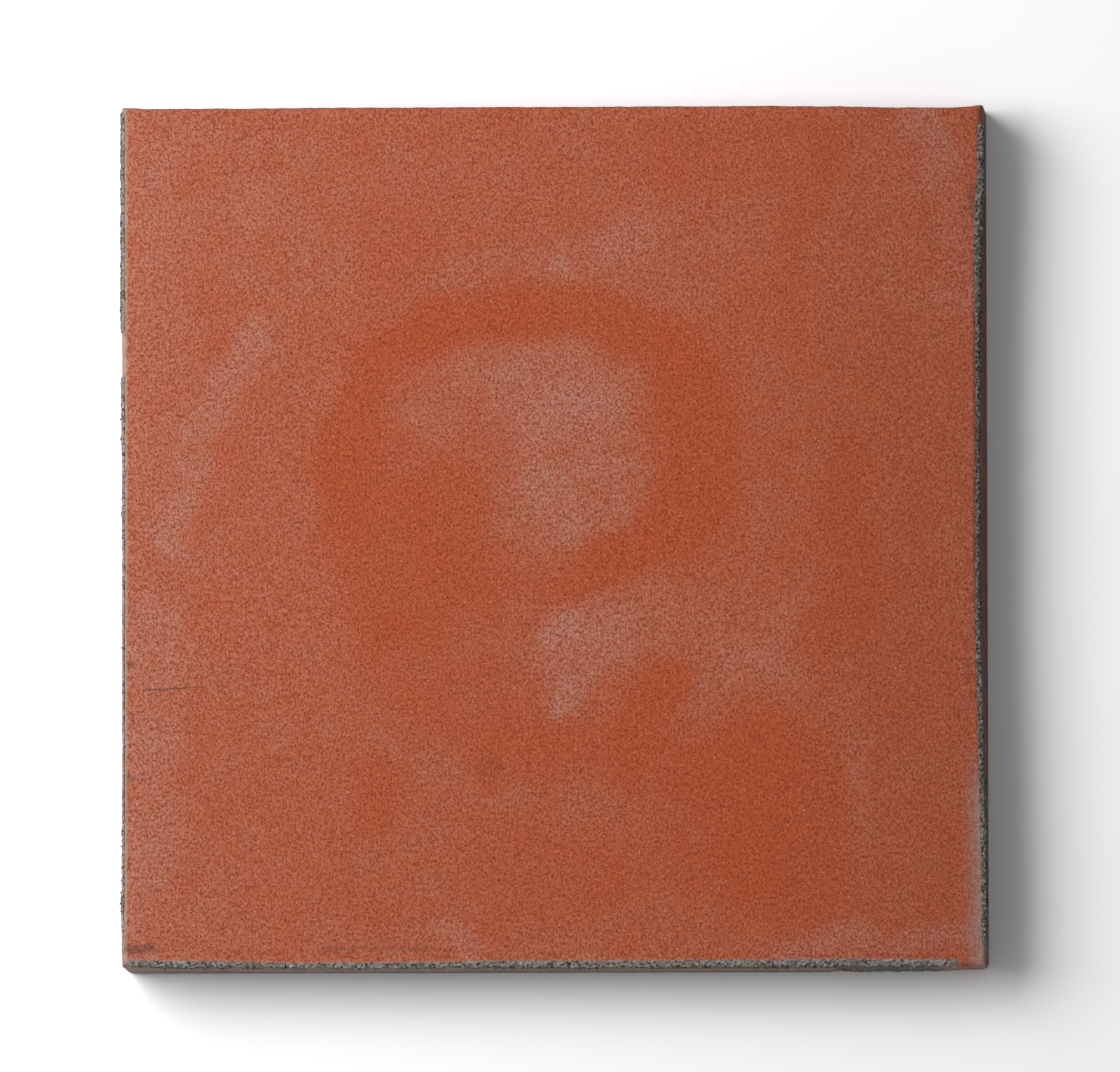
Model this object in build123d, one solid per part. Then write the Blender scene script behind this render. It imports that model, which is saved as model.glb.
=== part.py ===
from build123d import *
import math
import os

# A pressed, fired-clay floor tile: one piece, lying with its wearing face up.
# Millimetres, +Z up, origin at the centre of the underside.
TILE_SIZE = 200.0
THICKNESS = 18.0

# The upright band round the foot is the widest part of the tile.
LAND_TOP = 4.0
FOOT_BEVEL = 0.6

# Above that band the walls lean in, so that the tile leaves its die.
WALL_LEAN = 0.85

# The wearing face ends in a rounded arris. The upright corners are nearly sharp,
# and sharper still at the top, where the walls have leant in.
ARRIS_RADIUS = 1.6
CORNER_RADIUS = 1.2

# The underside is keyed for the mortar bed: shallow pockets between ribs.
# An even count puts a rib crossing at the origin.
KEY_COUNT = 8
KEY_BORDER = 10.0
KEY_RIB = 5.0
KEY_DEPTH = 1.5
KEY_DRAFT = 25.0
KEY_CORNER_CUT = 3.0

# The pockets share what the border and the ribs leave.
KEY_FIELD = TILE_SIZE - 2 * KEY_BORDER
KEY_PITCH = (KEY_FIELD + KEY_RIB) / KEY_COUNT
KEY_MOUTH = KEY_PITCH - KEY_RIB

WALL_HEIGHT = THICKNESS - LAND_TOP
WALL_DRAFT = math.degrees(math.atan(WALL_LEAN / WALL_HEIGHT))


def tile_outline():
    """The tile in plan, with its upright corners just rounded."""
    return RectangleRounded(TILE_SIZE, TILE_SIZE, CORNER_RADIUS)


def foot_band():
    """The upright band that the die forms, bevelled where it meets the bed."""
    band = extrude(tile_outline(), LAND_TOP)
    foot_edges = band.edges().group_by(Axis.Z)[0]
    return chamfer(foot_edges, FOOT_BEVEL)


def leaning_walls():
    """The body above the band, narrowing to the wearing face."""
    return extrude(Pos(0, 0, LAND_TOP) * tile_outline(), WALL_HEIGHT, taper=WALL_DRAFT)


def round_arris(body):
    """The rounded edge all the way round the wearing face."""
    face_edges = body.edges().group_by(Axis.Z)[-1]
    return fillet(face_edges, ARRIS_RADIUS)


def key_pocket():
    """One shallow pocket of the underside, wider at its mouth than at its floor."""
    square = Rectangle(KEY_MOUTH, KEY_MOUTH)
    mouth = chamfer(square.vertices(), KEY_CORNER_CUT)
    return extrude(mouth, KEY_DEPTH, taper=KEY_DRAFT)


def keyed_underside(body):
    """The field of pockets that lets the mortar bed grip the tile."""
    pocket = key_pocket()
    places = GridLocations(KEY_PITCH, KEY_PITCH, KEY_COUNT, KEY_COUNT)
    return body - [place * pocket for place in places]


def floor_tile():
    """The whole tile as one solid."""
    blank = foot_band() + leaning_walls()
    return keyed_underside(round_arris(blank))


os.makedirs("parts", exist_ok=True)
export_step(floor_tile(), "parts/floor_tile.step")
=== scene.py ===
import math
import random
import bmesh
import bpy
import numpy as np
from mathutils import Matrix, Vector, noise


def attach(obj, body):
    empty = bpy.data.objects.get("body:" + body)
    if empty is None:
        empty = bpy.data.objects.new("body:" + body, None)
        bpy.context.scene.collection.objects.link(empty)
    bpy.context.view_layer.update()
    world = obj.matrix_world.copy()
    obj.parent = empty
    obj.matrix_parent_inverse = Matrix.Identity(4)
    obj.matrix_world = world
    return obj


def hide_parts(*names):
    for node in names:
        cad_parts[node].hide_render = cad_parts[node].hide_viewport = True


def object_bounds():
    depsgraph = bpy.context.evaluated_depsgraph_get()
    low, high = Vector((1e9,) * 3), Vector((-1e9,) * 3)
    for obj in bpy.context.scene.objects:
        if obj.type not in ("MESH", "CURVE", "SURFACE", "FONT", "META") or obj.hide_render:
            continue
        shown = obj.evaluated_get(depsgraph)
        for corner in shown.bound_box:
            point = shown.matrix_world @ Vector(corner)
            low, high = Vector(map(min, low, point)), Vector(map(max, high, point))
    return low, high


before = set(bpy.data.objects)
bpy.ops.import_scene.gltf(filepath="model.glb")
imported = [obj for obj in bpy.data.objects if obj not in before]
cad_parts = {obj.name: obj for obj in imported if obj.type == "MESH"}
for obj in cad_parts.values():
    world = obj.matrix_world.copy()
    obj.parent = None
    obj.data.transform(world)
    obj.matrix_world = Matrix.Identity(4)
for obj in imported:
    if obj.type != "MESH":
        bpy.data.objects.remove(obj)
cad_low, cad_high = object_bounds()

# The modelling is in millimetres on the tile: x to the right (east), y away (north), z up.
MM = 0.001
HALF = cad_high.x / MM
THICKNESS = cad_high.z / MM

# Section of a side, from the wearing face down to the bed.
FACE_HALF = HALF - 2.35
ARRIS_RADIUS = 1.6
ARRIS_TURN = math.radians(86.5)
ARRIS_STEPS = 9
WALL_STEPS = 11
WALL_CLEARANCE = 0.12
WALL_HALF = HALF - WALL_CLEARANCE
LAND_TOP = 4.0
LAND_HEIGHTS = (3.0, 2.0, 1.2)
FOOT_BEVEL = 0.6
BED_RIM = 3.5
TOP_CORNER_RADIUS = 0.3
CORNER_RADIUS = 1.2
BED_CORNER_RADIUS = 0.5

# The keyed underside.
KEY_COUNT = 8
KEY_BORDER = 10.0
KEY_RIB = 5.0
KEY_DEPTH = 1.5
KEY_DRAFT = math.radians(25.0)
KEY_CORNER_CUT = 3.0
KEY_PITCH = (2 * HALF - 2 * KEY_BORDER + KEY_RIB) / KEY_COUNT

# Cells along a side of the wearing face, drawn closer together towards the edges.
FACE_CELLS = 226
EDGE_CROWDING = 0.4

# How far each side stands out from its straight line under the arris, as (place along it, offset).
BOW = {
    "north": [(-99.8, 0.75), (-93, 0.43), (-70, 0.4), (-23, 0.3), (11, 0.18), (46, 0.08), (64, -0.13),
              (80, -0.5), (91, -0.6), (95, -0.5), (98.5, -0.1)],
    "east": [(-95, 0.48), (-73, 0.45), (-57, 0.15), (-38, -0.25), (-24, -0.65), (-6, -0.95), (31, -0.75),
             (61, -0.8), (73, -0.55), (82, 0.17), (97, 0.2)],
    "south": [(-97, -0.35), (-81, -0.1), (-58, 0.3), (-35, 0.25), (-12, 0.0), (16, 0.05), (46, -0.05),
              (68, -0.25), (89, -0.05), (98, 0.0)],
    "west": [(-97, -0.2), (-95, -0.1), (-89, -0.1), (-79, -0.15), (-14, 0.05), (55, 0.3), (97, 0.45)],
}
# The same at the foot, where the two near corners are rubbed away.
FOOT_BOW = {
    "north": [(0, 0.0)],
    "east": [(0, 0.0)],
    "south": [(62, 0.0), (66, -0.35), (89, -0.3), (99, -0.75)],
    "west": [(-99, -0.6), (-94, -0.2), (-90, 0.0)],
}
# The bow is full this far below the face, and it fades out over this band towards the middle.
BOW_FULL_BELOW = 4.0
BOW_STARTS = 60
BOW_BAND = 37

# Small unevenness of the pressed clay, in layers of (size of the lumps, height).
FACE_LUMPS = [(28, 0.06), (5, 0.02), (1.3, 0.012)]
WALL_LUMPS = [(3.1, 0.10), (1.1, 0.07)]
FACE_SET_DOWN = 0.09
WALL_SET_IN = 0.08
EDGE_DROOP = 0.12
DROOP_BAND = 3.0
CORNER_TOLERANCE = 0.01
# Small dents by the west edge and in the face: x, y, radius, depth.
DENTS = [
    (-97.0, -29.6, 0.9, 0.35),
    (-97.0, -55.2, 0.9, 0.4),
    (-97.2, -89.8, 0.8, 0.3),
    (39.3, -12.0, 0.8, 0.05),
]

# Mortar left on three sides: how far its ledge reaches beyond the edge of the face.
REACH = {
    "west": [(-98, 0.5), (-87, 1.5), (-67, 1.45), (-49, 1.25), (-20, 1.3), (15, 1.5), (39, 1.6),
             (55, 1.85), (98, 1.9)],
    "south": [(-98, 1.3), (-92, 1.6), (-58, 1.35), (-35, 1.4), (0, 1.6), (34, 1.6), (68, 1.7),
              (89, 1.5), (93, 1.3)],
    "east": [(-97, 1.5), (-73, 1.6), (-52, 1.5), (-34, 1.4), (-6, 1.7), (26, 1.55), (47, 1.75),
             (65, 2.2), (97, 1.8)],
}
# Where along a side it is still there.
KEPT = {
    "west": [(-98.5, 0.0), (-96, 1.0), (37, 1.0), (39, 0.0), (46, 0.0), (48, 1.0), (97.5, 1.0), (98.8, 0.6)],
    "south": [(-98.6, 0.4), (-97, 1.0), (92, 1.0), (95, 0.0)],
    "east": [(-97.5, 0.3), (-94, 1.0), (94, 1.0), (97, 0.5)],
}
# The distance from the edge of the face at which it starts.
START = {
    "west": [(-97, 0.9), (55, 0.8), (98, 0.9)],
    "south": [(-97, 0.05), (-70, 0.0), (-58, 0.1), (-35, 0.05), (0, -0.05), (55, -0.1), (68, -0.15),
              (92, -0.1)],
    "east": [(-95, 0.35), (-73, 0.25), (-50, 0.15), (-30, 0.25), (-5, 0.75), (60, 0.6), (74, 0.1),
             (97, 0.4)],
}
# The height down to which it hangs on the wall.
HANG = {
    "west": [(-98, 14.0), (98, 13.0)],
    "south": [(-98, 15.2), (60, 15.0), (64, 13.5), (68, 3.0), (88, 2.5), (91, 14.5)],
    "east": [(-97, 12.5), (-60, 14.0), (0, 15.0), (97, 13.0)],
}
# How much higher its inner edge climbs over the arris.
CLIMB = {"west": 0.0, "south": 0.22, "east": 0.12}
# Painted shade on its ledge and on its broken outer face: none on the ledge of the lit west side, most on
# the east.
LEDGE_SHADE = {"west": 0.0, "south": 0.30, "east": 0.50}
OUTER_FACE_SHADE = {"west": 0.35, "south": 0.60, "east": 0.88}
LEDGE_HEIGHT = THICKNESS - 0.55
CRUST_TOP = THICKNESS - 0.12
CRUST_HALF_LENGTH = 98.9
CRUST_CELLS_LONG = 1000
CRUST_CELLS_ROUND = 26
CRUST_LEAN = 0.06
CRUMBS = [(0.9, 0.20), (0.42, 0.16), (2.4, 0.18)]
SUNK_DEPTH = 1.6
GRAINS_PER_SIDE = 420
GRAIN_GAP = 0.05

# Pale cement bloom in the middle of the face, as strokes: strength, half width, route.
MIDDLE_BLOOM = [
    (0.42, 10, [(-3, 34), (11, 32)]),
    (0.42, 13, [(4, 23), (8, 13)]),
    (0.40, 9, [(-1, 6), (-3, -2)]),
    (0.27, 6, [(-11, 38), (-22, 34), (-30, 25), (-34, 20)]),
    (0.62, 5, [(2, -20), (9, -27), (2, -37)]),
    (0.34, 9, [(-5, -21), (11, -24)]),
    (0.30, 7, [(-1, -35), (-3, -33)]),
    (0.22, 9, [(20, -18), (39, -21), (54, -24)]),
]
# The bloom further out.
OUTER_BLOOM = [
    (0.26, 8, [(45, -33), (39, -37)]),
    (0.46, 4, [(-68, 48), (-72, 38), (-78, 31), (-82, 22), (-85, 13), (-88, 0)]),
    (0.30, 4, [(4, 64), (12, 66), (24, 72)]),
    (0.14, 4, [(-28, 58), (-21, 61), (-12, 64)]),
    (0.08, 12, [(-85, 82), (-60, 80), (-40, 75)]),
    (0.12, 4, [(-75, 70), (-65, 80)]),
    (0.08, 10, [(-80, 60), (-60, 62)]),
    (0.14, 9, [(2, 60), (34, 60)]),
    (0.50, 5, [(86, 95), (90, 87), (88, 83)]),
    (0.22, 5, [(95, 71), (94, 55)]),
    (0.22, 3, [(71, -47), (71, -64)]),
    (0.40, 3, [(-26, -91), (-18, -94)]),
    (0.36, 3, [(53, -95), (69, -91), (75, -93)]),
    (0.42, 3, [(80, -94), (94, -92)]),
    (0.18, 4, [(-28, -52), (-26, -53)]),
    (0.18, 4, [(-10, -56), (-8, -57)]),
    (0.16, 4, [(5, -60), (7, -61)]),
    (0.20, 5, [(-78, -88), (-74, -90)]),
    (0.28, 8, [(-93, -20), (-93, -85)]),
]
# Where the face has been wiped clean, in the same form.
WIPED = [
    (0.85, 6, [(-48, 4), (-47, 25), (-41, 40), (-29, 48)]),
    (0.90, 6, [(-29, 48), (-16, 51), (-3, 52), (11, 51), (23, 46)]),
    (0.95, 10, [(31, 38), (34, 25), (34, 11), (30, 3)]),
    (0.90, 6, [(30, 3), (20, -3), (9, -8), (0, -12)]),
    (0.75, 13, [(-40, 16), (-37, 0), (-35, -14)]),
    (0.75, 9, [(-25, 11), (-21, -5), (-9, -15)]),
    (0.50, 12, [(-35, -28), (-23, -37), (-12, -37)]),
    (0.80, 6, [(68, 16), (67, 2), (71, -12), (63, -24)]),
    (0.55, 4, [(65, 92), (61, 78), (55, 69), (50, 55)]),
    (0.90, 7, [(26, -35), (20, -45)]),
    (0.65, 7, [(-12, -52), (11, -49), (32, -54)]),
    (0.95, 14, [(48, -52), (53, -60), (52, -75)]),
    (0.60, 9, [(35, -60), (33, -74)]),
    (0.60, 6, [(-40, -56), (-41, -64)]),
    (0.45, 9, [(-10, -74), (13, -79)]),
    (0.35, 8, [(-37, 62), (-36, 72)]),
    (0.40, 8, [(30, 88), (60, 88)]),
    (0.30, 10, [(62, 50), (75, 30), (80, -40)]),
]
# Brown stains, in the same form.
STAINS = [
    (0.6, 1.0, [(-97.5, -94.6), (-95, -95), (-92, -94.4)]),
    (0.15, 2.5, [(-15, -53), (-13, -53)]),
    (0.7, 0.45, [(-97.4, -29.6), (-96, -29.6)]),
    (0.8, 0.45, [(-97.4, -55.2), (-96, -55.2)]),
    (0.35, 1.6, [(97, 79), (97.5, 74)]),
    (0.30, 0.5, [(95.5, -29), (96, -33)]),
    (0.30, 0.4, [(94, -40), (93, -42)]),
    (0.35, 0.35, [(-53, -94.8), (-26, -95)]),
]
# Stains stay above this height.
STAIN_FLOOR = 14
# Hairline cracks: start, end, width, darkness.
CRACKS = [
    ((-94.2, -35.7), (-79.9, -35.0), 0.22, 0.75),
    ((-89.2, -45.4), (-81.0, -45.3), 0.18, 0.4),
]
CRACK_WAVER = 0.9

# A thin even film of bloom, which drifts a little along x and y and thickens at three margins.
FILM = 0.36
FILM_DRIFT_X = -0.0011
FILM_DRIFT_Y = 0.0004
FILM_MOTTLE = 0.10
WEST_MARGIN_FILM = 0.26
SOUTH_MARGIN_FILM = 0.10
EAST_MARGIN_FILM = 0.10

# Dust, dark level lines and painted shade at full strength on each part of the sides.
WEST_DUST = 0.8
EAST_DUST = 0.75
SOUTH_DUST = 0.9
SOUTH_WALL_DUST = 0.55
# The east arris and wall face away from the key light: these darken them with painted shade.
EAST_ARRIS_SHADE = 0.42
EAST_WALL_SHADE = 0.5
EAST_LOW_WALL_SHADE = 0.4
# Painted contact shadow low on the east wall.
EAST_FOOT_SHADOW = 0.9
# Painted shade that darkens the face towards the east edge, away from the key light.
EAST_FACE_SHADE = 0.13
SOUTH_WALL_GRIME = 0.22
SOUTH_LINES_GRIME = 0.3
# Painted shade along the north side below the arris.
NORTH_EDGE_SHADE = 0.6
# Painted contact shadow along the foot of the south wall.
SOUTH_FOOT_SHADOW = 0.85
MOST_GRIME_AND_SHADE = 0.95

# Clay and mortar colours, linear.
CLAY_RED = (0.325, 0.057, 0.016, 1.0)
CLAY_PALE = (0.450, 0.105, 0.038, 1.0)
CLAY_DARK = (0.195, 0.030, 0.010, 1.0)
BLOOM_PALE = (0.345, 0.265, 0.230, 1.0)
DUST_GREY = (0.270, 0.222, 0.196, 1.0)
STAIN_BROWN = (0.060, 0.030, 0.022, 1.0)
# The brown darkens the clay with painted shade, painted contact shadow and the south wall's dark level
# lines.
GRIME_AND_SHADE_BROWN = (0.050, 0.032, 0.028, 1.0)
# The black darkens the mortar with painted shade.
SHADE_BLACK = (0.022, 0.016, 0.014, 1.0)
MORTAR_GREY = (0.250, 0.234, 0.208, 1.0)
MORTAR_PALE = (0.430, 0.405, 0.365, 1.0)
MORTAR_DARK = (0.030, 0.025, 0.022, 1.0)
MORTAR_BROWN = (0.180, 0.135, 0.108, 1.0)
FLOOR_WHITE = (0.86, 0.86, 0.86, 1.0)
FILL_WHITE = (1.0, 1.0, 1.0, 1.0)

# Edges sharper than this stay creased.
CLAY_CREASE = math.radians(38)
MORTAR_CREASE = math.radians(50)

# The key light and the fill, in metres and watts, and the floor, which lies just under the tile.
KEY_PLACE = Vector((-0.60, 0.24, 0.72))
KEY_SIZE = 0.75
KEY_POWER = 13.4
FILL_STRENGTH = 0.33
FLOOR_HALF = 4.0
FLOOR_DROP = 0.05

# The photograph looks down from the near right, from about two metres.
CAMERA_PLACE = Vector((135, -172, 2200)) * MM
CAMERA_AIM = Vector((2.0, -0.1, 18.0)) * MM
SENSOR_WIDTH = 36.0
PICTURE_WIDTH = 1120
FOCUS_PIXELS = 9540


def eased(t):
    """Smooth step from 0 to 1."""
    t = min(max(t, 0.0), 1.0)
    return t * t * (3 - 2 * t)


def along(stations, place):
    """Reads a list of (place, value) stations with smooth joins."""
    if place <= stations[0][0]:
        return stations[0][1]
    for (start, low), (end, high) in zip(stations, stations[1:]):
        if place <= end:
            return low + (high - low) * eased((place - start) / (end - start))
    return stations[-1][1]


def lumps(point, layers):
    """Adds up layers of noise, each with the size of its lumps and their height."""
    return sum(height * noise.noise(point / size) for size, height in layers)


def held_inside(point, gap):
    """Keeps a point at least this far inside the square that the tile fills."""
    limit = HALF - gap
    point.x = min(max(point.x, -limit), limit)
    point.y = min(max(point.y, -limit), limit)
    return point


def side_point(side, place, out, height):
    """A point of one side, from its place along the side and its distance out from the centre."""
    if side == "north":
        return Vector((place, out, height))
    if side == "south":
        return Vector((place, -out, height))
    if side == "east":
        return Vector((out, place, height))
    return Vector((-out, place, height))


def bowed(point):
    """Moves a point with the slight bow of the four sides, high up and at the foot."""
    lift = eased((point.z - LAND_TOP) / (THICKNESS - LAND_TOP - BOW_FULL_BELOW))
    shift = Vector((0.0, 0.0, 0.0))
    for side, axis, sign in (("east", 0, 1), ("west", 0, -1), ("north", 1, 1), ("south", 1, -1)):
        nearness = eased((sign * point[axis] - BOW_STARTS) / BOW_BAND)
        if nearness > 0:
            place = point[1 - axis]
            offset = lift * along(BOW[side], place) + (1 - lift) * along(FOOT_BOW[side], place)
            shift[axis] += sign * nearness * offset
    return point + shift


def side_section():
    """The section of a side as (half width, height, corner radius), from the face edge to the bed."""
    section = []
    for k in range(1, ARRIS_STEPS + 1):
        angle = ARRIS_TURN * k / ARRIS_STEPS
        half = FACE_HALF + ARRIS_RADIUS * math.sin(angle)
        height = THICKNESS - ARRIS_RADIUS * (1 - math.cos(angle))
        section.append((half, height, TOP_CORNER_RADIUS * k / ARRIS_STEPS))
    top_half, top = section[-1][:2]
    for k in range(1, WALL_STEPS + 1):
        t = k / WALL_STEPS
        half = top_half + (WALL_HALF - top_half) * t
        height = top + (LAND_TOP - top) * t
        section.append((half, height, TOP_CORNER_RADIUS + (CORNER_RADIUS - TOP_CORNER_RADIUS) * t))
    for height in (*LAND_HEIGHTS, FOOT_BEVEL):
        section.append((WALL_HALF, height, CORNER_RADIUS))
    section.append((WALL_HALF - FOOT_BEVEL, 0.0, CORNER_RADIUS))
    section.append((HALF - BED_RIM, 0.0, BED_CORNER_RADIUS))
    return section


def crowded(u):
    """Places the grid lines closer together towards the edges, for u from -1 to 1."""
    return (1 - EDGE_CROWDING) * u + EDGE_CROWDING * math.sin(u * math.pi / 2)


def rim_edges(bm):
    """The open edges of a mesh."""
    return [e for e in bm.edges if e.is_boundary]


def next_ring(bm, rim, half, height, corner):
    """Extrudes the rim to the next ring of the section, a square with rounded corners."""
    grown = bmesh.ops.extrude_edge_only(bm, edges=rim)["geom"]
    ring = {g for g in grown if isinstance(g, bmesh.types.BMVert)}
    straight = half - corner
    for v in ring:
        reach = max(abs(v.co.x), abs(v.co.y))
        x = v.co.x / reach * half
        y = v.co.y / reach * half
        over_x = abs(x) - straight
        over_y = abs(y) - straight
        if over_x > 0 and over_y > 0:
            length = math.hypot(over_x, over_y)
            x = math.copysign(straight + corner * over_x / length, x)
            y = math.copysign(straight + corner * over_y / length, y)
        v.co = Vector((x, y, height))
    return [g for g in grown if isinstance(g, bmesh.types.BMEdge) and ring.issuperset(g.verts)]


def keyed_underside(bm):
    """The field of shallow pockets, joined to the rim of the walls."""
    before = set(bm.faces)
    half_field = KEY_COUNT * KEY_PITCH / 2
    bmesh.ops.create_grid(bm, x_segments=KEY_COUNT, y_segments=KEY_COUNT, size=half_field)
    cells = [f for f in bm.faces if f not in before]
    bmesh.ops.reverse_faces(bm, faces=cells)
    bmesh.ops.inset_individual(bm, faces=cells, thickness=KEY_RIB / 2)
    corners = list({v for f in cells for v in f.verts})
    bmesh.ops.bevel(
        bm, geom=corners, offset=KEY_CORNER_CUT, affect="VERTICES", segments=1, profile=0.5, material=-1
    )
    mouths = [f for f in bm.faces if f not in before and len(f.verts) == 8]
    draft = KEY_DEPTH * math.tan(KEY_DRAFT)
    bmesh.ops.inset_individual(bm, faces=mouths, thickness=draft, depth=-KEY_DEPTH)
    bmesh.ops.bridge_loops(bm, edges=rim_edges(bm))


def outward(point):
    """The way out through the nearest side, or slantwise at a corner."""
    across, away = abs(point.x), abs(point.y)
    x = point.x if across > away - CORNER_TOLERANCE else 0
    y = point.y if away > across - CORNER_TOLERANCE else 0
    return Vector((x, y, 0)).normalized()


def shape_clay(point):
    """Gives a point of the plain tile the small unevenness of pressed clay."""
    reach = max(abs(point.x), abs(point.y))
    face_share = eased((point.z - (THICKNESS - 1.5)) / 1.5)
    wall_share = eased((reach - FACE_HALF + 2) / 2.5) * eased(point.z / 2)
    droop = EDGE_DROOP * eased(1 - (FACE_HALF - reach) / DROOP_BAND)
    moved = bowed(point)
    moved.z -= face_share * (FACE_SET_DOWN - lumps(point, FACE_LUMPS) + droop)
    moved += outward(point) * (lumps(point, WALL_LUMPS) - WALL_SET_IN) * wall_share
    for x, y, radius, depth in DENTS:
        gap = math.hypot(point.x - x, point.y - y)
        if gap < radius and point.z > THICKNESS / 2:
            moved.z -= depth * eased(1 - gap / radius)
    return held_inside(moved, 0.01)


def clay_tile():
    """The whole tile: the face as a fine grid, extruded down its sides and closed by its underside."""
    bm = bmesh.new()
    bmesh.ops.create_grid(bm, x_segments=FACE_CELLS, y_segments=FACE_CELLS, size=1.0)
    for v in bm.verts:
        v.co = Vector((crowded(v.co.x) * FACE_HALF, crowded(v.co.y) * FACE_HALF, THICKNESS))
    rim = rim_edges(bm)
    for half, height, corner in side_section():
        rim = next_ring(bm, rim, half, height, corner)
    bmesh.ops.recalc_face_normals(bm, faces=bm.faces)
    above_bed = [v for v in bm.verts if v.co.z > 0.01]
    keyed_underside(bm)
    for v in above_bed:
        v.co = shape_clay(v.co)
    bmesh.ops.recalc_face_normals(bm, faces=bm.faces)
    return bm


def profile_point(profile, t):
    """The distance out and the height at t, on a profile of (t, out, height) with straight joins."""
    for (start, out_1, up_1), (end, out_2, up_2) in zip(profile, profile[1:]):
        if t <= end:
            out = out_1 + (out_2 - out_1) * (t - start) / (end - start)
            up = up_1 + (up_2 - up_1) * (t - start) / (end - start)
            return out, up
    return profile[-1][1:]


def crust_point(side, place, t):
    """A point of the mortar: t runs from the face edge over the ledge, down its face and back in."""
    wander = Vector((place, 40.0, 0.0))
    start = FACE_HALF + along(START[side], place) + 0.22 * noise.noise(wander / 1.7)
    reach = FACE_HALF + along(REACH[side], place)
    reach += 0.16 * noise.noise(wander / 2.3 + Vector((7, 0, 0))) + 0.12 * noise.noise(wander / 0.8)
    hang = along(HANG[side], place) + 1.4 * noise.noise(wander / 4.0 + Vector((0, 9, 0)))
    climb = CLIMB[side]
    profile = [
        (0.0, start, LEDGE_HEIGHT - 0.2 + climb),
        (0.06, start + 0.06, LEDGE_HEIGHT + 0.28 + climb),
        (0.45, reach - 0.15, LEDGE_HEIGHT + 0.02 + 0.4 * climb),
        (0.55, reach, LEDGE_HEIGHT - 0.25),
        (0.82, reach + 0.02, hang + 0.4),
        (0.9, reach - 0.1, hang),
        (1.0, reach - 1.0, hang - 0.1),
    ]
    out, up = profile_point(profile, t)
    out += max(0.0, LEDGE_HEIGHT - up) * CRUST_LEAN
    shown = math.sin(math.pi * min(max(t, 0.0), 1.0)) ** 0.35
    crumb = lumps(Vector((place, out * 1.3, up)), CRUMBS)
    out += shown * crumb * (1.0 if t > 0.4 else 0.4)
    up += shown * crumb * (1.3 if t < 0.55 else 0.3)
    sunk = SUNK_DEPTH * (1 - along(KEPT[side], place))
    out -= sunk
    up -= sunk
    return held_inside(bowed(side_point(side, place, out, min(up, CRUST_TOP))), 0.02)


def sand_grains(bm, side, draw):
    """Loose sand and crumbs stuck in the mortar."""
    for _ in range(GRAINS_PER_SIDE):
        place = draw.uniform(-97, 97)
        t = draw.choice((draw.uniform(0.1, 0.5), draw.uniform(0.5, 0.85)))
        if along(KEPT[side], place) < 0.9:
            continue
        radius = draw.uniform(0.12, 0.30)
        centre = held_inside(crust_point(side, place, t), radius + GRAIN_GAP)
        centre.z = min(centre.z, THICKNESS - radius - GRAIN_GAP)
        widths = (draw.uniform(0.7, 1.1), draw.uniform(0.7, 1.1), draw.uniform(0.6, 1.0))
        squash = Matrix.Diagonal((*widths, 1.0))
        turn = Matrix.Rotation(draw.uniform(0, math.pi), 4, "Z")
        seat = Matrix.Translation(centre) @ turn @ squash
        bmesh.ops.create_icosphere(bm, subdivisions=1, radius=radius, matrix=seat)


def mortar_crust(side, seed):
    """The broken mortar along one side, closed behind inside the clay, with its sand."""
    bm = bmesh.new()
    bmesh.ops.create_grid(bm, x_segments=CRUST_CELLS_LONG, y_segments=CRUST_CELLS_ROUND, size=1.0)
    long_borders = [e for e in rim_edges(bm) if abs(e.verts[0].co.y - e.verts[1].co.y) < 1e-6]
    for v in bm.verts:
        v.co = crust_point(side, v.co.x * CRUST_HALF_LENGTH, (v.co.y + 1) / 2)
    bmesh.ops.bridge_loops(bm, edges=long_borders)
    bmesh.ops.holes_fill(bm, edges=rim_edges(bm), sides=0)
    bmesh.ops.recalc_face_normals(bm, faces=bm.faces)
    sand_grains(bm, side, random.Random(seed))
    return bm


def new_piece(name, bm, material, crease):
    """Turns a finished bmesh in millimetres into a piece in metres, smooth but for its creases."""
    bmesh.ops.scale(bm, vec=(MM, MM, MM), verts=bm.verts)
    mesh = bpy.data.meshes.new(name)
    bm.to_mesh(mesh)
    bm.free()
    mesh.shade_smooth()
    mesh.set_sharp_from_angle(angle=crease)
    mesh.materials.append(material)
    piece = bpy.data.objects.new(name, mesh)
    bpy.context.scene.collection.objects.link(piece)
    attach(piece, "root")
    return piece


def vertex_places(mesh):
    """The places of a mesh's vertices as rows of x, y and z, in millimetres."""
    places = np.zeros(len(mesh.vertices) * 3)
    mesh.vertices.foreach_get("co", places)
    return places.reshape(-1, 3) / MM


def set_attribute(mesh, name, values):
    """Stores one number for each vertex."""
    attribute = mesh.attributes.new(name, "FLOAT", "POINT")
    attribute.data.foreach_set("value", np.asarray(values, np.float32))


def ramp(values, low, high):
    """A straight rise from 0 at low to 1 at high."""
    return np.clip((values - low) / (high - low), 0, 1)


def wandering(points, scale, amount):
    """Shifts the points by smooth noise, so that strokes painted on them get natural outlines."""
    places = [Vector((x, y, 0)) / scale for x, y in points]
    shifts = [(noise.noise(place), noise.noise(place + Vector((31, 17, 5)))) for place in places]
    return points + amount * np.array(shifts)


def mottle(points, scale, seed):
    """Smooth noise at each point, about -1 to 1."""
    return np.array([noise.fractal(Vector((x, y, seed)) / scale, 1.0, 2.0, 3) for x, y in points])


def cover(points, route, radius):
    """How far each point lies under a soft stroke along a route, from 0 to 1."""
    nearest = np.full(len(points), 1e9)
    for start, end in zip(route, route[1:]):
        start = np.array(start, float)
        run = np.array(end, float) - start
        share = np.clip((points - start) @ run / (run @ run), 0, 1)
        nearest = np.minimum(nearest, np.linalg.norm(points - start - share[:, None] * run, axis=1))
    t = np.clip((1.45 - nearest / radius) / 0.9, 0, 1)
    return t * t * (3 - 2 * t)


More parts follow.
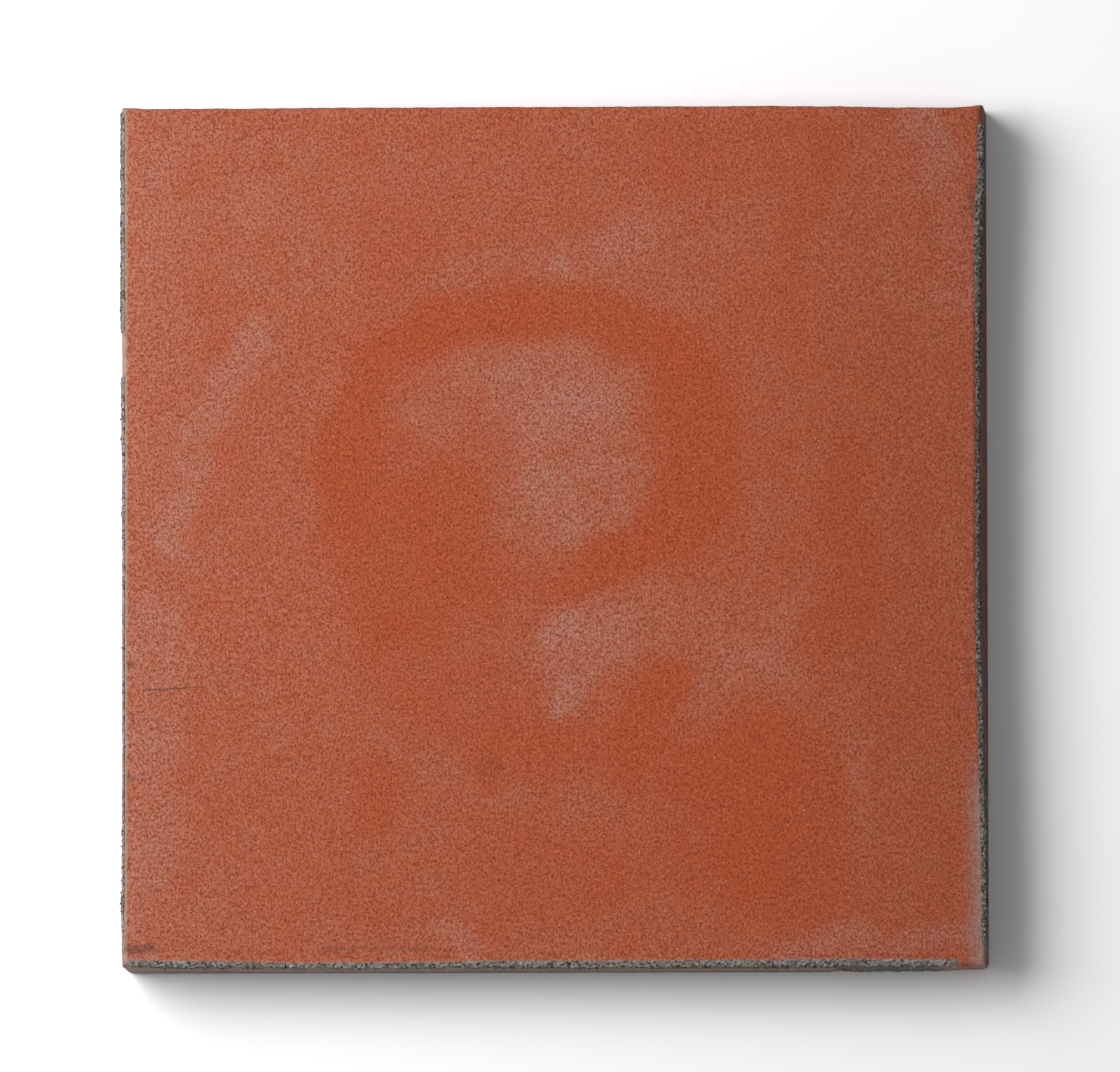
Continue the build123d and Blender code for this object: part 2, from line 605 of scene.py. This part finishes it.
def beyond_face(places):
    """How far each point lies beyond the edge of the face, for each side, in millimetres."""
    x, y = places[:, 0], places[:, 1]
    beyond = {}
    for side, across, place in (("east", x, y), ("west", -x, y), ("north", y, x), ("south", -y, x)):
        bow = np.interp(place, *np.array(BOW[side]).T)
        beyond[side] = across - FACE_HALF - bow
    return beyond


def face_bloom(plan):
    """Cement bloom on the face: a thin film, strokes of it, and the strokes where it was wiped off."""
    points = wandering(wandering(plan, 11.0, 2.4), 4.0, 1.2)
    x, y = points.T
    bloom = FILM + FILM_DRIFT_X * x + FILM_DRIFT_Y * y
    bloom += WEST_MARGIN_FILM * ramp(-x, 80, 94) ** 1.3
    bloom += SOUTH_MARGIN_FILM * ramp(-y, 88, 96)
    bloom += EAST_MARGIN_FILM * ramp(x, 92, 97)
    bloom += FILM_MOTTLE * mottle(plan, 9.0, 3.0)
    for strength, radius, route in MIDDLE_BLOOM + OUTER_BLOOM:
        bloom += strength * cover(points, route, radius) * (1 - 0.3 * np.clip(bloom, 0, 1))
    for strength, radius, route in WIPED:
        bloom *= 1 - strength * cover(points, route, radius)
    for strength, radius, route in MIDDLE_BLOOM:
        bloom = np.maximum(bloom, strength * cover(points, route, radius))
    return np.clip(bloom, 0, 1)


def face_stains(plan):
    """Ragged brown stains."""
    ragged = wandering(plan, 1.2, 0.5)
    stain = np.zeros(len(plan))
    for strength, radius, route in STAINS:
        stain = np.maximum(stain, strength * cover(ragged, route, radius))
    return stain


def edge_dust(places):
    """Pale mortar dust on the arrises and walls."""
    x, y, z = places.T
    beyond = beyond_face(places)
    spread = mottle(places[:, :2] + 50, 2.0, 8.0)
    west = WEST_DUST * ramp(beyond["west"], 0.0, 0.5)
    east = EAST_DUST * ramp(beyond["east"], -4.5, 0.6) ** 1.5 * ramp(-y, 48, 62)
    south = SOUTH_DUST * ramp(beyond["south"], -0.15, 0.25) * ramp(94 - x, 0, 2)
    wall = SOUTH_WALL_DUST * ramp(beyond["south"], 1.4, 1.7) * ramp(-z, -15, -13)
    dust = np.maximum.reduce([west, east, south, wall])
    return np.clip(dust * (1 + 0.35 * spread), 0, 1)


def level_lines(places):
    """Noise drawn out along the sides, so that it makes thin level lines on the walls."""
    return np.array([noise.noise(Vector((x * 0.03, y * 0.03, z * 1.6))) for x, y, z in places])


def edge_shade_and_grime(places):
    """Painted shade on the east arris and walls, at the north side and on the face towards the east edge,
    painted contact shadow along the foot, and dark level lines on the south wall.
    """
    x, y, z = places.T
    beyond = beyond_face(places)
    spread = mottle(places[:, :2] + 20, 3.0, 5.0)
    near_end = ramp(-y, 55, 65)
    # Painted shade on the east arris and wall, darkest on the wall towards the near end.
    arris = EAST_ARRIS_SHADE * ramp(beyond["east"], -0.35, 0.25) * (1 - near_end)
    wall = (EAST_WALL_SHADE + EAST_LOW_WALL_SHADE * near_end) * ramp(beyond["east"], 0.9, 1.5)
    # Painted contact shadow along the foot of the east wall.
    east_foot = EAST_FOOT_SHADOW * ramp(-z, -8, -3) * ramp(beyond["east"], 1.6, 2.0)
    # Painted shade: the face darkens towards the east edge.
    east_face_shade = EAST_FACE_SHADE * ramp(x, 45, 92) * (beyond["east"] < 0)
    lines = SOUTH_WALL_GRIME + SOUTH_LINES_GRIME * ramp(level_lines(places), 0.0, 0.3)
    south = ramp(beyond["south"], 1.3, 1.6) * lines
    # Painted contact shadow low on the south wall.
    south_foot = SOUTH_FOOT_SHADOW * ramp(-z, -3.0, -2.0) * ramp(beyond["south"], 1.6, 2.0)
    # Painted shade on the north side below the arris.
    north = NORTH_EDGE_SHADE * ramp(beyond["north"], 1.1, 1.5)
    grime_and_shade = np.maximum.reduce([arris + wall, east_foot, east_face_shade, south, south_foot, north])
    return np.clip(grime_and_shade * (1 + 0.3 * spread), 0, MOST_GRIME_AND_SHADE)


def paint_clay(piece):
    """Stores where the tile carries cement bloom, stains and mortar dust, and where it gets painted shade,
    painted contact shadow and the south wall's dark level lines.
    """
    mesh = piece.data
    places = vertex_places(mesh)
    plan = places[:, :2]
    set_attribute(mesh, "bloom", face_bloom(plan))
    set_attribute(mesh, "stain", face_stains(plan) * (places[:, 2] > STAIN_FLOOR))
    set_attribute(mesh, "dust", edge_dust(places))
    set_attribute(mesh, "grime_and_shade", edge_shade_and_grime(places))


def paint_mortar(piece, side):
    """Stores painted shade on the mortar: more on its broken outer face than on its ledge, and more on the
    sides away from the key light.
    """
    places = vertex_places(piece.data)
    outer = np.maximum(ramp(beyond_face(places)[side], 1.2, 1.6), ramp(-places[:, 2], -16.8, -16.0))
    mortar_shade = LEDGE_SHADE[side] + (OUTER_FACE_SHADE[side] - LEDGE_SHADE[side]) * outer
    set_attribute(piece.data, "grime_and_shade", mortar_shade)


def node(tree, kind, feeds, **settings):
    """Adds a shader node with its options, and feeds its sockets, given by name or number."""
    made = tree.nodes.new(kind)
    for name, value in settings.items():
        setattr(made, name, value)
    for key, value in feeds.items():
        if isinstance(value, bpy.types.NodeSocket):
            tree.links.new(value, made.inputs[key])
        else:
            made.inputs[key].default_value = value
    return made


def new_material(name):
    """A node material with its principled shader."""
    material = bpy.data.materials.new(name)
    material.use_nodes = True
    tree = material.node_tree
    return material, tree, tree.nodes["Principled BSDF"]


def object_place(tree):
    """Object coordinates, in metres."""
    return node(tree, "ShaderNodeTexCoord", {}).outputs["Object"]


def noise_pattern(tree, place, size, detail, rough, distortion=0.0):
    """A noise value on object coordinates. The size is that of its lumps, in millimetres."""
    feeds = {0: place, "Scale": 1 / (size * MM), "Detail": detail}
    feeds |= {"Roughness": rough, "Distortion": distortion}
    return node(tree, "ShaderNodeTexNoise", feeds).outputs["Fac"]


def remap(tree, value, low, high, to_low=0.0, to_high=1.0):
    """Stretches a value from one range to another, clamped and smooth."""
    feeds = {0: value, 1: low, 2: high, 3: to_low, 4: to_high}
    return node(tree, "ShaderNodeMapRange", feeds, interpolation_type="SMOOTHSTEP").outputs[0]


def blend_colours(tree, share, first, second):
    """Mixes two colours by a share."""
    return node(tree, "ShaderNodeMix", {0: share, 6: first, 7: second}, data_type="RGBA").outputs[2]


def calc(tree, operation, first, second=0.0, third=0.0):
    """One sum on values or sockets."""
    return node(tree, "ShaderNodeMath", {0: first, 1: second, 2: third}, operation=operation).outputs[0]


def reading(tree, name):
    """The value of a vertex attribute."""
    return node(tree, "ShaderNodeAttribute", {}, attribute_name=name).outputs["Fac"]


def hairline(tree, place, waver, start, end, width):
    """A thin crack in the face between two places, all in millimetres."""
    axes = node(tree, "ShaderNodeSeparateXYZ", {"Vector": place})
    x, y = axes.outputs[:2]
    slope = (end[1] - start[1]) / (end[0] - start[0])
    line = calc(tree, "MULTIPLY_ADD", x, slope, (start[1] - slope * start[0]) * MM)
    bent = calc(tree, "MULTIPLY_ADD", waver, CRACK_WAVER * MM, line)
    gap = calc(tree, "ABSOLUTE", calc(tree, "SUBTRACT", y, bent))
    across = remap(tree, gap, 0.3 * width * MM, width * MM, 1.0, 0.0)
    after_start = calc(tree, "GREATER_THAN", x, start[0] * MM)
    before_end = calc(tree, "LESS_THAN", x, end[0] * MM)
    return calc(tree, "MULTIPLY", across, calc(tree, "MULTIPLY", after_start, before_end))


def fired_clay():
    """Red clay with a fine granular skin, cement bloom caught on its high spots, dust and stains."""
    material, tree, shader = new_material("fired_clay_bloomed")
    place = object_place(tree)
    drawn = node(tree, "ShaderNodeMapping", {"Vector": place, "Scale": (1.15, 0.85, 1.0)}).outputs[0]
    ridges = noise_pattern(tree, drawn, 0.62, 2.0, 0.55, 0.4)
    pores = noise_pattern(tree, place, 0.36, 1.0, 0.5)
    flecks = noise_pattern(tree, place, 0.6, 1.0, 0.5)
    clouds = noise_pattern(tree, place, 7.0, 3.0, 0.6)
    waver = noise_pattern(tree, place, 3.0, 1.0, 0.5)
    grain = calc(tree, "ADD", calc(tree, "MULTIPLY", ridges, 0.6), calc(tree, "MULTIPLY", pores, 0.4))

    # The clay itself: dark in its pores, paler on its high spots, with a few pale flecks.
    colour = blend_colours(tree, remap(tree, grain, 0.36, 0.52), CLAY_DARK, CLAY_RED)
    colour = blend_colours(tree, remap(tree, grain, 0.50, 0.68, 0.0, 0.75), colour, CLAY_PALE)
    colour = blend_colours(tree, remap(tree, flecks, 0.70, 0.80, 0.0, 0.8), colour, BLOOM_PALE)

    # What lies on it, and the painted shade, each layer with its own part of the grain.
    bloom = calc(tree, "MULTIPLY", reading(tree, "bloom"), remap(tree, clouds, 0.30, 0.65, 0.72, 1.20))
    bloom = calc(tree, "MULTIPLY", bloom, remap(tree, grain, 0.40, 0.62, 0.06, 0.42))
    colour = blend_colours(tree, bloom, colour, BLOOM_PALE)
    dust = calc(tree, "MULTIPLY", reading(tree, "dust"), remap(tree, grain, 0.35, 0.60, 0.55, 1.15))
    colour = blend_colours(tree, dust, colour, DUST_GREY)
    # Painted shade and painted contact shadow, with the south wall's dark level lines, darken the clay
    # towards brown.
    grime_and_shade = calc(tree, "MULTIPLY", reading(tree, "grime_and_shade"), remap(tree, grain, 0.35, 0.65, 1.0, 0.75))
    colour = blend_colours(tree, grime_and_shade, colour, GRIME_AND_SHADE_BROWN)
    stain = calc(tree, "MULTIPLY", reading(tree, "stain"), remap(tree, pores, 0.30, 0.60, 0.6, 1.0))
    colour = blend_colours(tree, stain, colour, STAIN_BROWN)
    for start, end, width, darkness in CRACKS:
        crack = calc(tree, "MULTIPLY", hairline(tree, place, waver, start, end, width), darkness)
        colour = blend_colours(tree, crack, colour, STAIN_BROWN)

    tree.links.new(colour, shader.inputs["Base Color"])
    tree.links.new(remap(tree, grain, 0.3, 0.7, 0.88, 0.70), shader.inputs["Roughness"])
    shader.inputs["Specular IOR Level"].default_value = 0.2
    bump = node(tree, "ShaderNodeBump", {"Height": grain, "Strength": 0.55, "Distance": 0.16 * MM})
    tree.links.new(bump.outputs[0], shader.inputs["Normal"])
    return material


def old_mortar():
    """Crumbly grey cement mortar with pale sand, dark pits and brownish patches, darkened towards black by
    painted shade.
    """
    material, tree, shader = new_material("old_mortar")
    place = object_place(tree)
    crumbs = noise_pattern(tree, place, 0.7, 3.0, 0.65)
    sand = noise_pattern(tree, place, 0.45, 1.0, 0.5)
    patches = noise_pattern(tree, place, 9.0, 3.0, 0.6)
    colour = blend_colours(tree, remap(tree, crumbs, 0.38, 0.52), MORTAR_DARK, MORTAR_GREY)
    colour = blend_colours(tree, remap(tree, crumbs, 0.54, 0.70, 0.0, 0.7), colour, MORTAR_PALE)
    colour = blend_colours(tree, remap(tree, sand, 0.62, 0.75, 0.0, 0.6), colour, MORTAR_PALE)
    colour = blend_colours(tree, remap(tree, patches, 0.45, 0.65, 0.0, 0.5), colour, MORTAR_BROWN)
    # Painted shade from the stored values darkens the mortar towards black.
    mortar_shade = calc(tree, "MULTIPLY", reading(tree, "grime_and_shade"), remap(tree, crumbs, 0.40, 0.66, 1.1, 0.6))
    colour = blend_colours(tree, mortar_shade, colour, SHADE_BLACK)
    tree.links.new(colour, shader.inputs["Base Color"])
    shader.inputs["Roughness"].default_value = 0.92
    shader.inputs["Specular IOR Level"].default_value = 0.2
    bump = node(tree, "ShaderNodeBump", {"Height": crumbs, "Strength": 0.8, "Distance": 0.2 * MM})
    tree.links.new(bump.outputs[0], shader.inputs["Normal"])
    return material


def pale_floor():
    """A plain pale studio floor."""
    material, _, shader = new_material("studio_floor")
    shader.inputs["Base Color"].default_value = FLOOR_WHITE
    shader.inputs["Roughness"].default_value = 0.9
    shader.inputs["Specular IOR Level"].default_value = 0.1
    bm = bmesh.new()
    bmesh.ops.create_grid(bm, x_segments=1, y_segments=1, size=FLOOR_HALF)
    bmesh.ops.translate(bm, vec=(0, 0, -FLOOR_DROP * MM), verts=bm.verts)
    mesh = bpy.data.meshes.new("studio_floor")
    bm.to_mesh(mesh)
    bm.free()
    mesh.materials.append(material)
    floor = bpy.data.objects.new("studio_floor", mesh)
    bpy.context.scene.collection.objects.link(floor)


def soft_light():
    """One large soft light from the upper left, and a low even fill."""
    key = bpy.data.lights.new("window_light", "AREA")
    key.shape = "SQUARE"
    key.size = KEY_SIZE
    key.energy = KEY_POWER
    lamp = bpy.data.objects.new("window_light", key)
    lamp.location = KEY_PLACE
    lamp.rotation_euler = KEY_PLACE.to_track_quat("Z", "Y").to_euler()
    bpy.context.scene.collection.objects.link(lamp)
    world = bpy.data.worlds.new("even_fill")
    world.use_nodes = True
    sky = world.node_tree.nodes["Background"]
    sky.inputs["Color"].default_value = FILL_WHITE
    sky.inputs["Strength"].default_value = FILL_STRENGTH
    bpy.context.scene.world = world


def studio_camera():
    """The camera above the tile, with the far side up in the picture."""
    data = bpy.data.cameras.new("camera")
    data.sensor_fit = "HORIZONTAL"
    data.sensor_width = SENSOR_WIDTH
    data.lens = FOCUS_PIXELS / PICTURE_WIDTH * SENSOR_WIDTH
    data.clip_start = 0.05
    data.dof.use_dof = False
    camera = bpy.data.objects.new("camera", data)
    back = (CAMERA_PLACE - CAMERA_AIM).normalized()
    right = Vector((0, 1, 0)).cross(back).normalized()
    up = back.cross(right)
    turn = Matrix((right, up, back)).transposed().to_4x4()
    camera.matrix_world = Matrix.Translation(CAMERA_PLACE) @ turn
    bpy.context.scene.collection.objects.link(camera)
    bpy.context.scene.camera = camera


def show_true_colours():
    """Colours go to the picture unchanged."""
    view = bpy.context.scene.view_settings
    view.view_transform = "Standard"
    view.look = "None"
    view.exposure = 0.0
    view.gamma = 1.0


tile = new_piece("clay_tile", clay_tile(), fired_clay(), CLAY_CREASE)
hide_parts("floor_tile")
paint_clay(tile)

mortar = old_mortar()
for seed, side in enumerate(("west", "south", "east"), 11):
    crust = new_piece("mortar_" + side, mortar_crust(side, seed), mortar, MORTAR_CREASE)
    paint_mortar(crust, side)

pale_floor()
soft_light()
studio_camera()
show_true_colours()
